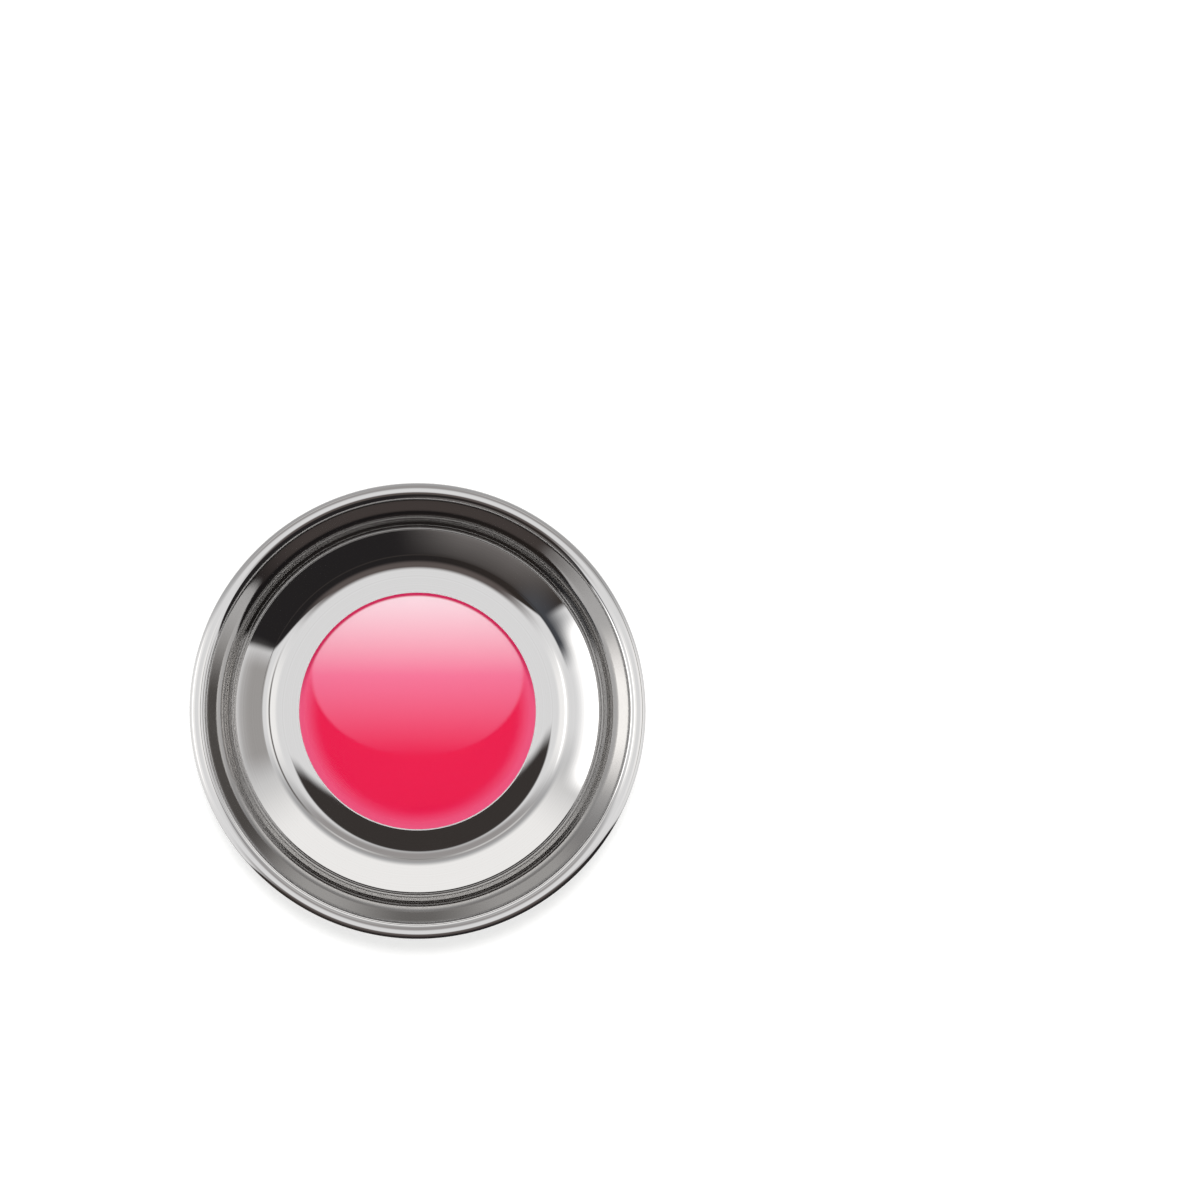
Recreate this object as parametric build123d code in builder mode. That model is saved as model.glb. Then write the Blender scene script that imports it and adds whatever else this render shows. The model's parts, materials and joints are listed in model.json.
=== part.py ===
"""Magnetic pin bowl: a pressed stainless dish on a rubber-covered pot magnet, with a label over its screw.

Frame: +Z up, origin at the centre of the rubber foot's underside. Sizes are in millimetres and degrees.
"""

import os

from build123d import *

# Dish: pressed from one sheet. Radii and heights are those of its upper, inner face.
sheet = 0.6
rim_radius = 54.07
rim_easing = 0.22
lip_reach = 4.1  # of the lip and its bend, out from the wall
lip_bend_radius = 2.6
lip_fall = 22  # degrees down at the rim
wall_height = 22.5  # above the pad that the label lies on
bottom_share = 0.318  # of the way out from the floor to the wall's top, where its bottom bend ends
bottom_height = 1.83  # of that bend's end above the pad
flare_share = 0.654  # of that way, where the flare above the bend ends
flare_height = 6.45  # of the flare's end above the pad
shoulder_share = 0.73  # of that way, where the bend from the flare to the steep wall ends
shoulder_height = 8.4  # of that bend's end above the pad
floor_width = 3.7  # of flat floor round the pad

# Label: a printed film on its adhesive, under a dome of clear resin.
dome_margin = 0.1  # bare pad round the resin
dome_height = 1.3
dome_shoulder_inset = 2.6
dome_shoulder_drop = 0.35
film_margin = 0.3  # clear resin round the film
film_thickness = 0.15
tape_margin = 0.3  # film round the adhesive
tape_thickness = 0.15

# Pot magnet: a ferrite ring, the ring that centres it, and a pressed steel cup, open downwards.
magnet_radius = 25.0
magnet_bore = 11.0
magnet_height = 12.0
magnet_chamfer = 0.6
spacer_wall = 1.4
spacer_height = 8.0
cup_wall = 1.5
cup_inner_bend = 0.5
cup_land = 0.2  # of straight hole under the countersink in its top

# Rubber boot: stretched over the pot magnet, its lip caught between the magnet and the dish.
boot_wall = 2.5
boot_draft = 0.8  # taken off its radius from top to foot
boot_foot_fillet = 4.8
boot_top_fillet = 1.4
boot_floor = 1.8
boot_lip = 1.3
boot_lip_width = 8.0
boot_overhang = 0.9  # past the dish's pad

# Screw: M5 countersunk with a cross recess, and its two washers and nut.
screw_radius = 2.5
screw_length = 12.0
thread_pitch = 0.8
thread_depth = 0.4
thread_start = 4.0  # below the top of the head
thread_groove = 0.5  # across the groove's mouth
tip_chamfer = 0.4
head_radius = 4.6
head_land = 0.2
head_sink = 0.15  # of the head below the pad
recess_span = 4.6
recess_blade = 1.1
recess_depth = 1.9
recess_taper = 8
washer_radius = 5.0
washer_thickness = 1.0
spring_radius = 4.4
spring_thickness = 1.2
spring_slit = 0.8
spring_slant = 25
nut_across_flats = 8.0
nut_height = 4.0
nut_bevel = 0.36  # height that the bevel takes from each corner

# Fits
screw_clearance = 0.15  # round the screw in each hole that it passes
slip = 0.05  # round a piece dropped into another
seat = 0.02  # between two cones that centre each other
overrun = 1.0  # of a cut past the face that it starts from

# Radii, from the magnet out to the dish's floor, then in from the rim
spacer_bore = magnet_radius + slip
spacer_radius = spacer_bore + spacer_wall
cup_bore = spacer_radius + slip
cup_radius = cup_bore + cup_wall
boot_radius = cup_radius + boot_wall
boot_foot_radius = boot_radius - boot_draft
boot_lip_opening = cup_radius - boot_lip_width
pad_radius = boot_radius - boot_overhang
floor_radius = pad_radius + floor_width
wall_top_radius = rim_radius - lip_reach
wall_reach = wall_top_radius - floor_radius
bottom_radius = floor_radius + bottom_share * wall_reach
flare_radius = floor_radius + flare_share * wall_reach
shoulder_radius = floor_radius + shoulder_share * wall_reach
dome_radius = pad_radius - dome_margin
film_radius = dome_radius - film_margin
tape_radius = film_radius - tape_margin

# The countersinks are right-angled cones: a cone's radius grows by as much as its height.
screw_hole = screw_radius + screw_clearance
dimple_radius = head_radius + seat + head_sink + head_land
cone_back = sheet * 2**0.5  # the dish's sheet, measured level across the cone
cup_sink_radius = dimple_radius + cone_back + seat - boot_lip - sheet
cup_floor = cup_sink_radius - screw_hole + cup_land

# Heights, from the foot up
magnet_top = boot_floor + magnet_height
cup_top = magnet_top + cup_floor
boot_top = cup_top + boot_lip
pad_height = boot_top + sheet
dimple_foot = pad_height - (dimple_radius - screw_hole)
tape_top = pad_height + tape_thickness
film_top = tape_top + film_thickness
washer_foot = magnet_top - washer_thickness
spring_foot = washer_foot - spring_thickness
nut_top = spring_foot
nut_foot = nut_top - nut_height
head_top = pad_height - head_sink
head_cone_top = head_top - head_land
screw_tip = head_top - screw_length


# Dish
with BuildPart() as bowl:
    with BuildSketch(Plane.XZ) as bowl_section:
        with BuildLine():
            dimple = Line((screw_hole, dimple_foot), (dimple_radius, pad_height))
            floor = Line(dimple @ 1, (floor_radius, pad_height))
            bottom_end = (bottom_radius, pad_height + bottom_height)
            flare_end = (flare_radius, pad_height + flare_height)
            shoulder_end = (shoulder_radius, pad_height + shoulder_height)
            wall_top = (wall_top_radius, pad_height + wall_height)
            bottom = TangentArc(floor @ 1, bottom_end, tangent=floor % 1)
            flare = TangentArc(bottom_end, flare_end, tangent=bottom % 1)
            shoulder = TangentArc(flare_end, shoulder_end, tangent=flare % 1)
            upper_wall = TangentArc(shoulder_end, wall_top, tangent=shoulder % 1)
            wall_lean = Vector(1, 0).get_angle(upper_wall % 1)
            lip_bend = JernArc(wall_top, upper_wall % 1, lip_bend_radius, -lip_fall - wall_lean)
            lip_width = rim_radius - (lip_bend @ 1).X
            PolarLine(lip_bend @ 1, lip_width, direction=lip_bend % 1, length_mode=LengthMode.HORIZONTAL)
            offset(amount=sheet, side=Side.RIGHT, kind=Kind.INTERSECTION)
        make_face()
        fillet(bowl_section.vertices().sort_by(Axis.X)[-2:], rim_easing)
    revolve(axis=Axis.Z)

# Label's adhesive, which also hides the screw's head
with BuildPart() as label_tape:
    with BuildSketch(Plane.XY.offset(pad_height)):
        Circle(tape_radius)
    extrude(amount=tape_thickness)

# Label's printed film
with BuildPart() as label_film:
    with BuildSketch(Plane.XY.offset(tape_top)):
        Circle(film_radius)
    extrude(amount=film_thickness)

# Clear resin, poured on the film and run down over its edge to the pad
with BuildPart() as label_dome:
    with BuildSketch(Plane.XZ):
        with BuildLine():
            crown_top = (0, film_top + dome_height)
            shoulder = (dome_radius - dome_shoulder_inset, film_top + dome_height - dome_shoulder_drop)
            crown = TangentArc(crown_top, shoulder, tangent=(1, 0))
            edge = TangentArc(shoulder, (dome_radius, pad_height), tangent=crown % 1)
            Polyline(edge @ 1, (0, pad_height), crown_top)
        make_face()
    revolve(axis=Axis.Z)
    with BuildSketch(Plane.XY.offset(pad_height)):
        Circle(film_radius)
    extrude(amount=tape_thickness + film_thickness, mode=Mode.SUBTRACT)

# Rubber boot: a drafted, round-edged cup whose lip turns in over the pot magnet
with BuildPart() as rubber_boot:
    with BuildSketch(Plane.XZ) as boot_section:
        with BuildLine():
            Polyline((0, 0), (boot_foot_radius, 0), (boot_radius, boot_top), (0, boot_top), close=True)
        make_face()
        fillet(boot_section.vertices().group_by(Axis.Y)[0].sort_by(Axis.X)[-1], boot_foot_fillet)
        fillet(boot_section.vertices().group_by(Axis.Y)[-1].sort_by(Axis.X)[-1], boot_top_fillet)
        with Locations((0, boot_floor)):
            Rectangle(cup_radius + slip, cup_top - boot_floor, align=Align.MIN, mode=Mode.SUBTRACT)
        with Locations((0, cup_top - overrun)):
            Rectangle(boot_lip_opening, boot_lip + 2 * overrun, align=Align.MIN, mode=Mode.SUBTRACT)
    revolve(axis=Axis.Z)

# Steel cup of the pot magnet, its top countersunk for the dish's dimple
with BuildPart() as magnet_cup:
    with BuildSketch(Plane.XZ) as cup_section:
        with BuildLine():
            Polyline(
                (screw_hole, magnet_top),
                (screw_hole, cup_top - cup_sink_radius + screw_hole),
                (cup_sink_radius, cup_top),
                (cup_radius, cup_top),
                (cup_radius, boot_floor),
                (cup_bore, boot_floor),
                (cup_bore, magnet_top),
                close=True,
            )
        make_face()
        outer_bend = cup_section.vertices().sort_by(Axis.X)[-2:].sort_by(Axis.Y)[-1]
        fillet(outer_bend, cup_inner_bend + cup_wall)
        inner_bend = cup_section.vertices().sort_by_distance((cup_bore, magnet_top))[0]
        fillet(inner_bend, cup_inner_bend)
    revolve(axis=Axis.Z)

# Ferrite ring
with BuildPart() as ring_magnet:
    with BuildSketch(Plane.XY.offset(boot_floor)):
        Circle(magnet_radius)
        Circle(magnet_bore, mode=Mode.SUBTRACT)
    extrude(amount=magnet_height)
    chamfer(ring_magnet.edges().filter_by(GeomType.CIRCLE), magnet_chamfer)

# Plastic ring that keeps the ferrite clear of the cup's skirt
with BuildPart() as magnet_spacer:
    with BuildSketch(Plane.XY.offset(boot_floor + (magnet_height - spacer_height) / 2)):
        Circle(spacer_radius)
        Circle(spacer_bore, mode=Mode.SUBTRACT)
    extrude(amount=spacer_height)

# Screw, its thread drawn as separate grooves
with BuildPart() as screw:
    with BuildSketch(Plane.XZ):
        with BuildLine():
            Polyline(
                (0, head_top),
                (head_radius, head_top),
                (head_radius, head_cone_top),
                (screw_radius, head_cone_top - (head_radius - screw_radius)),
                (screw_radius, screw_tip + tip_chamfer),
                (screw_radius - tip_chamfer, screw_tip),
                (0, screw_tip),
                close=True,
            )
        make_face()
        groove_count = int((screw_length - thread_start - tip_chamfer) / thread_pitch)
        groove_tops = [head_top - thread_start - turn * thread_pitch for turn in range(groove_count)]
        with Locations(*[(screw_radius, top) for top in groove_tops]):
            groove = ((0, thread_groove / 2), (-thread_depth, 0), (0, -thread_groove / 2))
            Polygon(*groove, align=None, mode=Mode.SUBTRACT)
    revolve(axis=Axis.Z)
    with BuildSketch(Plane.XY.offset(head_top)):
        Rectangle(recess_span, recess_blade)
        Rectangle(recess_blade, recess_span)
    extrude(amount=-recess_depth, taper=recess_taper, mode=Mode.SUBTRACT)

# Flat washer
with BuildPart() as flat_washer:
    with BuildSketch(Plane.XY.offset(washer_foot)):
        Circle(washer_radius)
        Circle(screw_hole, mode=Mode.SUBTRACT)
    extrude(amount=washer_thickness)

# Spring washer, split on a slant
with BuildPart() as spring_washer:
    with BuildSketch(Plane.XY.offset(spring_foot)):
        Circle(spring_radius)
        Circle(screw_hole, mode=Mode.SUBTRACT)
    extrude(amount=spring_thickness)
    with BuildSketch(Plane.XZ):
        with Locations((0, spring_foot + spring_thickness / 2)):
            Rectangle(spring_slit, spring_thickness + 2 * overrun, rotation=spring_slant)
    extrude(amount=spring_radius + overrun, mode=Mode.SUBTRACT)

# Nut, its corners bevelled top and bottom
with BuildPart() as nut:
    with BuildSketch(Plane.XY.offset(nut_foot)):
        nut_outline = RegularPolygon(nut_across_flats / 2, side_count=6, major_radius=False)
        Circle(screw_radius + slip, mode=Mode.SUBTRACT)
    extrude(amount=nut_height)
    with BuildSketch(Plane.XZ):
        with BuildLine():
            Polyline(
                (0, nut_foot),
                (nut_outline.apothem, nut_foot),
                (nut_outline.radius, nut_foot + nut_bevel),
                (nut_outline.radius, nut_top - nut_bevel),
                (nut_outline.apothem, nut_top),
                (0, nut_top),
                close=True,
            )
        make_face()
    revolve(axis=Axis.Z, mode=Mode.INTERSECT)


pieces = {
    "bowl": bowl,
    "label_tape": label_tape,
    "label_film": label_film,
    "label_dome": label_dome,
    "rubber_boot": rubber_boot,
    "magnet_cup": magnet_cup,
    "ring_magnet": ring_magnet,
    "magnet_spacer": magnet_spacer,
    "screw": screw,
    "flat_washer": flat_washer,
    "spring_washer": spring_washer,
    "nut": nut,
}

os.makedirs("parts", exist_ok=True)
for name, piece in pieces.items():
    piece.part.label = name
    export_step(piece.part, f"parts/{name}.step")
    size = piece.part.bounding_box().size
    print(f"{name}: {size.X:.2f} x {size.Y:.2f} x {size.Z:.2f} mm, {piece.part.volume:.1f} mm3")
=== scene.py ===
"""Magnetic pin bowl: steel dish, domed label, rubber foot, studio and camera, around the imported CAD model.

Lengths are in millimetres until they reach a mesh, and in metres in Blender, as in the CAD model.
"""

import json
import logging
import math
from dataclasses import dataclass, field
from enum import Enum

import bpy
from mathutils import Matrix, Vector

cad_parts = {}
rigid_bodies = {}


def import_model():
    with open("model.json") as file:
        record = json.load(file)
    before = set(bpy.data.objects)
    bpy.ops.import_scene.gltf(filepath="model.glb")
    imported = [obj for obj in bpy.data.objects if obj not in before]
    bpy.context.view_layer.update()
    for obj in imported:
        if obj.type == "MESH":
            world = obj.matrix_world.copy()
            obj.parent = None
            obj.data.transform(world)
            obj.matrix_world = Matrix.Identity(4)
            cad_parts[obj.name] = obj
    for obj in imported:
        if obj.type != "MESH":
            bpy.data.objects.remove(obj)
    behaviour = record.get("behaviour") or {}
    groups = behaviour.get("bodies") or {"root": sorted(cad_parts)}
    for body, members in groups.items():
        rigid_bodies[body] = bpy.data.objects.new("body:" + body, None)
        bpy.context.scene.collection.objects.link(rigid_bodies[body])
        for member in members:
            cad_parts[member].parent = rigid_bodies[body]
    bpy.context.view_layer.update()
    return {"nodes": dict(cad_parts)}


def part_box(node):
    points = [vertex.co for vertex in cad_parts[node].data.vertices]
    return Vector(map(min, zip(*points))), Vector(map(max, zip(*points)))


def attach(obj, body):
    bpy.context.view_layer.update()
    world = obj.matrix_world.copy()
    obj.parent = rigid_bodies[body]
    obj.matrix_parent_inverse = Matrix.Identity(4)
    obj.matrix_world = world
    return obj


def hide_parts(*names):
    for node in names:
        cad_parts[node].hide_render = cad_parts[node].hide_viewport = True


MM = 0.001
TOUCHING = 1e-9  # mm, between two points of an outline that make a corner
DOUBLE = 1e-6  # mm, between two points of which one is dropped
MOST_NOISE = (0.3, 0.7)  # between which most of a noise texture's values lie
LOG = logging.getLogger("pin_bowl")
Socket = bpy.types.NodeSocket
Point = tuple[float, float]  # two numbers that go together, such as a radius and a height


def linear(hex_colour: str) -> tuple[float, float, float, float]:
    """Turn an sRGB colour into the linear values that Blender's sockets take.

    Args:
        hex_colour: Six hexadecimal digits after a hash, such as "#c8c6c2".

    Returns:
        Red, green and blue from 0 to 1, and an alpha of 1.
    """
    shares = [int(hex_colour[k : k + 2], 16) / 255 for k in (1, 3, 5)]
    lin = [s / 12.92 if s <= 0.04045 else ((s + 0.055) / 1.055) ** 2.4 for s in shares]
    return (*lin, 1.0)


def add(
    tree: bpy.types.NodeTree,
    kind: str,
    links: dict[str | int, object] | None = None,
    stops: list[tuple[float, str]] | None = None,
    **settings: object,
) -> bpy.types.Node:
    """Add a node with its settings, its values and its links.

    Args:
        tree: The node tree that gets it.
        kind: Blender's name for the node, such as "ShaderNodeMath".
        links: For each input, by name or number, a value or the output that feeds it.
        stops: A ramp's places and colours, where the node has a ramp.
        settings: The node's own properties.

    Returns:
        The new node.
    """
    node = tree.nodes.new(kind)
    for name, value in settings.items():
        setattr(node, name, value)
    for name, value in (links or {}).items():
        if isinstance(value, Socket):
            tree.links.new(value, node.inputs[name])
        else:
            node.inputs[name].default_value = value
    if stops:
        ramp = node.color_ramp.elements
        while len(ramp) < len(stops):
            ramp.new(1.0)
        for stop, (place, colour) in zip(ramp, stops):
            stop.position = place
            stop.color = linear(colour)
    return node


def new_material(name: str) -> tuple[bpy.types.Material, bpy.types.NodeTree]:
    """Make a material with an empty node tree.

    Args:
        name: The finish's name.

    Returns:
        The material and its tree.
    """
    mat = bpy.data.materials.new(name)
    mat.use_nodes = True
    mat.node_tree.nodes.clear()
    return mat, mat.node_tree


def box_mm(node: str) -> tuple[Vector, Vector]:
    """Return the lowest and highest corner of a CAD node, in millimetres."""
    low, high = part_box(node)
    return low / MM, high / MM


class Shade(Enum):
    """How a turned piece's corners look: eased into each other, or crisp past an angle in degrees."""

    SMOOTH = 180.0
    CRISP = 35.0


@dataclass(frozen=True)
class Corner:
    """A corner of a section: its radius from the axis, its height and how far it is rounded."""

    radius: float
    height: float
    rounding: float = 0.0


@dataclass
class Outline:
    """Half section of a turned piece, drawn so that its material is on the right of the line.

    Attributes:
        turn_step: Most degrees between two points on a bend.
        length_step: Most millimetres between two points.
        points: Radius and height of each point.
        headings: Direction of travel at each point, in radians from outwards.
        inside: For each point, 1 on the face that the bowl's contents touch, 0 elsewhere.
    """

    turn_step: float = 2.5
    length_step: float = 1.2
    points: list[Point] = field(default_factory=list)
    headings: list[float] = field(default_factory=list)
    inside: list[float] = field(default_factory=list)

    def put(self, radius: float, height: float, heading: float) -> None:
        """Add one point of the face that the bowl's contents touch.

        Args:
            radius: Its distance from the axis.
            height: Its height.
            heading: Direction of travel there, in radians from outwards.
        """
        self.points.append((radius, height))
        self.headings.append(heading)
        self.inside.append(1.0)

    def line(self, radius: float, height: float) -> None:
        """Draw a straight line to a point.

        Args:
            radius: The point's distance from the axis.
            height: Its height.
        """
        r0, z0 = self.points[-1]
        length = math.hypot(radius - r0, height - z0)
        heading = math.atan2(height - z0, radius - r0)
        steps = max(1, math.ceil(length / self.length_step))
        for k in range(steps + 1):
            self.put(r0 + (radius - r0) * k / steps, z0 + (height - z0) * k / steps, heading)

    def bend(self, size: float, turn: float) -> None:
        """Draw an arc that carries on in the line's direction.

        Args:
            size: The arc's radius.
            turn: Degrees that it turns, positive to the left.
        """
        r0, z0 = self.points[-1]
        start = self.headings[-1]
        signed = math.copysign(size, turn)
        length = size * abs(math.radians(turn))
        steps = max(2, math.ceil(abs(turn) / self.turn_step), math.ceil(length / self.length_step))
        for k in range(1, steps + 1):
            heading = start + math.radians(turn) * k / steps
            r = r0 + signed * (math.sin(heading) - math.sin(start))
            z = z0 - signed * (math.cos(heading) - math.cos(start))
            self.put(r, z, heading)

    def sweep(self, radius: float, height: float) -> None:
        """Draw the arc that carries on in the line's direction and ends at a point.

        Args:
            radius: The point's distance from the axis.
            height: Its height.
        """
        r0, z0 = self.points[-1]
        chord = math.hypot(radius - r0, height - z0)
        half = math.atan2(height - z0, radius - r0) - self.headings[-1]
        self.bend(abs(chord / (2 * math.sin(half))), math.degrees(2 * half))

    def walk(self, corners: list[Corner]) -> None:
        """Draw straight lines from corner to corner, each corner rounded by its own size.

        Args:
            corners: The corners in order, the first of them where the outline starts.
        """
        for k, corner in enumerate(corners):
            if not self.points:
                self.put(corner.radius, corner.height, 0.0)
                continue
            if not corner.rounding:
                self.line(corner.radius, corner.height)
                continue
            r0, z0 = self.points[-1]
            after = corners[k + 1]
            came = math.atan2(corner.height - z0, corner.radius - r0)
            goes = math.atan2(after.height - corner.height, after.radius - corner.radius)
            turn = math.remainder(goes - came, math.tau)
            cut = corner.rounding * math.tan(abs(turn) / 2)
            self.line(corner.radius - cut * math.cos(came), corner.height - cut * math.sin(came))
            self.bend(corner.rounding, math.degrees(turn))

    def beside(self, distance: float) -> list[Point]:
        """Move the line to its right, with its corners mitred.

        Args:
            distance: How far it moves.

        Returns:
            The moved points.
        """
        moved = []
        k = 0
        while k < len(self.points):
            r, z = self.points[k]
            heading = self.headings[k]
            reach = distance
            if k + 1 < len(self.points) and math.dist(self.points[k], self.points[k + 1]) < TOUCHING:
                turn = self.headings[k + 1] - heading
                heading += turn / 2
                reach /= math.cos(turn / 2)
                k += 1
            moved.append((r + reach * math.sin(heading), z - reach * math.cos(heading)))
            k += 1
        return moved

    def tidy(self) -> None:
        """Drop each point that lies on the one before it."""
        kept = [0]
        for k in range(1, len(self.points)):
            if math.dist(self.points[k], self.points[kept[-1]]) > DOUBLE:
                kept.append(k)
        self.points = [self.points[k] for k in kept]
        self.headings = [self.headings[k] for k in kept]
        self.inside = [self.inside[k] for k in kept]


class Lathe:
    """Geometry Nodes tree that turns an outline about the bowl's axis, as spinning and moulding do."""

    INSIDE = "inside"
    ALONG = "along"
    WELD = 1e-6  # m

    def __init__(self) -> None:
        """Build the tree once, for every turned piece."""
        self.tree = bpy.data.node_groups.new("turned_about_axis", "GeometryNodeTree")
        face = self.tree.interface
        face.new_socket("Outline", in_out="INPUT", socket_type="NodeSocketGeometry")
        face.new_socket("Segments", in_out="INPUT", socket_type="NodeSocketInt")
        face.new_socket("Crease angle", in_out="INPUT", socket_type="NodeSocketFloat")
        face.new_socket("Finish", in_out="INPUT", socket_type="NodeSocketMaterial")
        face.new_socket("Piece", in_out="OUTPUT", socket_type="NodeSocketGeometry")
        given = add(self.tree, "NodeGroupInput").outputs
        grid, row, column = self._grid(given["Outline"], given["Segments"])
        shape = self._turn(given["Outline"], given["Segments"], grid, row, column)
        self._finish(shape, given)

    def _grid(self, outline: Socket, segments: Socket) -> tuple[Socket, Socket, Socket]:
        """Lay out one row of a flat grid for each point of the outline.

        Args:
            outline: The outline's points.
            segments: Number of segments round the axis.

        Returns:
            The grid, and each vertex's row and column.
        """
        tree = self.tree
        size = add(tree, "GeometryNodeAttributeDomainSize", {0: outline}, component="MESH")
        across = add(tree, "ShaderNodeMath", {0: segments, 1: 1.0}, operation="ADD").outputs[0]
        grid = add(
            tree, "GeometryNodeMeshGrid", {"Vertices X": size.outputs["Point Count"], "Vertices Y": across}
        )
        index = add(tree, "GeometryNodeInputIndex").outputs[0]
        row = add(tree, "FunctionNodeIntegerMath", {0: index, 1: across}, operation="DIVIDE_FLOOR")
        column = add(tree, "FunctionNodeIntegerMath", {0: index, 1: across}, operation="MODULO")
        return grid.outputs["Mesh"], row.outputs[0], column.outputs[0]

    def _turn(self, outline: Socket, segments: Socket, grid: Socket, row: Socket, column: Socket) -> Socket:
        """Move each row of the grid to its point of the outline, turned about the axis.

        Args:
            outline: The outline's points.
            segments: Number of segments round the axis.
            grid: The flat grid.
            row: Each vertex's point of the outline.
            column: Each vertex's segment.

        Returns:
            The turned mesh, with the outline's attributes on it.
        """
        tree = self.tree
        place = add(tree, "GeometryNodeInputPosition").outputs[0]
        taken = add(
            tree,
            "GeometryNodeSampleIndex",
            {"Geometry": outline, "Value": place, "Index": row},
            data_type="FLOAT_VECTOR",
        ).outputs[0]
        share = add(tree, "ShaderNodeMath", {0: column, 1: segments}, operation="DIVIDE").outputs[0]
        angle = add(tree, "ShaderNodeMath", {0: share, 1: math.tau}, operation="MULTIPLY").outputs[0]
        turned = add(
            tree, "ShaderNodeVectorRotate", {"Vector": taken, "Angle": angle}, rotation_type="Z_AXIS"
        )
        shape = add(
            tree, "GeometryNodeSetPosition", {"Geometry": grid, "Position": turned.outputs[0]}
        ).outputs[0]
        for name in (self.INSIDE, self.ALONG):
            drawn = add(tree, "GeometryNodeInputNamedAttribute", {"Name": name}, data_type="FLOAT")
            value = add(
                tree,
                "GeometryNodeSampleIndex",
                {"Geometry": outline, "Value": drawn.outputs["Attribute"], "Index": row},
                data_type="FLOAT",
            )
            shape = add(
                tree,
                "GeometryNodeStoreNamedAttribute",
                {"Geometry": shape, "Name": name, "Value": value.outputs[0]},
                data_type="FLOAT",
                domain="POINT",
            ).outputs[0]
        return shape

    def _finish(self, shape: Socket, given: bpy.types.NodeOutputs) -> None:
        """Close the seam and the poles, shade the faces and set the finish.

        Args:
            shape: The turned mesh.
            given: The tree's inputs.
        """
        tree = self.tree
        welded = add(tree, "GeometryNodeMergeByDistance", {"Geometry": shape, "Distance": self.WELD})
        eased = add(tree, "GeometryNodeSetShadeSmooth", {"Geometry": welded.outputs[0]}, domain="FACE")
        angle = add(tree, "GeometryNodeInputMeshEdgeAngle").outputs["Unsigned Angle"]
        sharp = add(
            tree,
            "FunctionNodeCompare",
            {0: angle, 1: given["Crease angle"]},
            data_type="FLOAT",
            operation="GREATER_THAN",
        )
        creased = add(
            tree,
            "GeometryNodeSetShadeSmooth",
            {"Geometry": eased.outputs[0], "Selection": sharp.outputs[0], "Shade Smooth": False},
            domain="EDGE",
        )
        real = add(tree, "GeometryNodeRealizeInstances", {"Geometry": creased.outputs[0]})
        dressed = add(
            tree, "GeometryNodeSetMaterial", {"Geometry": real.outputs[0], "Material": given["Finish"]}
        )
        add(tree, "NodeGroupOutput", {0: dressed.outputs[0]})

    def make(
        self, name: str, outline: Outline, segments: int, shade: Shade, finish: bpy.types.Material
    ) -> bpy.types.Object:
        """Turn one piece and leave it as a plain mesh in its place.

        Args:
            name: The piece's name.
            outline: Its half section.
            segments: Number of segments round the axis.
            shade: How its corners look.
            finish: Its material.

        Returns:
            The piece's object, at the origin.
        """
        drawn = bpy.data.meshes.new(f"{name}_outline")
        drawn.from_pydata([(r * MM, 0.0, z * MM) for r, z in outline.points], [], [])
        far = 0.0
        along = []
        for k, point in enumerate(outline.points):
            far += math.dist(point, outline.points[k - 1]) if k else 0.0
            along.append(far)
        for attribute, values in ((self.INSIDE, outline.inside), (self.ALONG, along)):
            drawn.attributes.new(attribute, "FLOAT", "POINT").data.foreach_set("value", values)
        piece = bpy.data.objects.new(name, drawn)
        bpy.context.scene.collection.objects.link(piece)
        nodes = piece.modifiers.new("turned", "NODES")
        nodes.node_group = self.tree
        sockets = {s.name: s.identifier for s in self.tree.interface.items_tree}
        nodes[sockets["Segments"]] = segments
        nodes[sockets["Crease angle"]] = math.radians(shade.value)
        nodes[sockets["Finish"]] = finish
        view = bpy.context.evaluated_depsgraph_get()
        mesh = bpy.data.meshes.new_from_object(piece.evaluated_get(view))
        piece.modifiers.remove(nodes)
        piece.data = mesh
        mesh.name = name
        LOG.info("%s: %d faces", name, len(mesh.polygons))
        return piece


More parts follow.
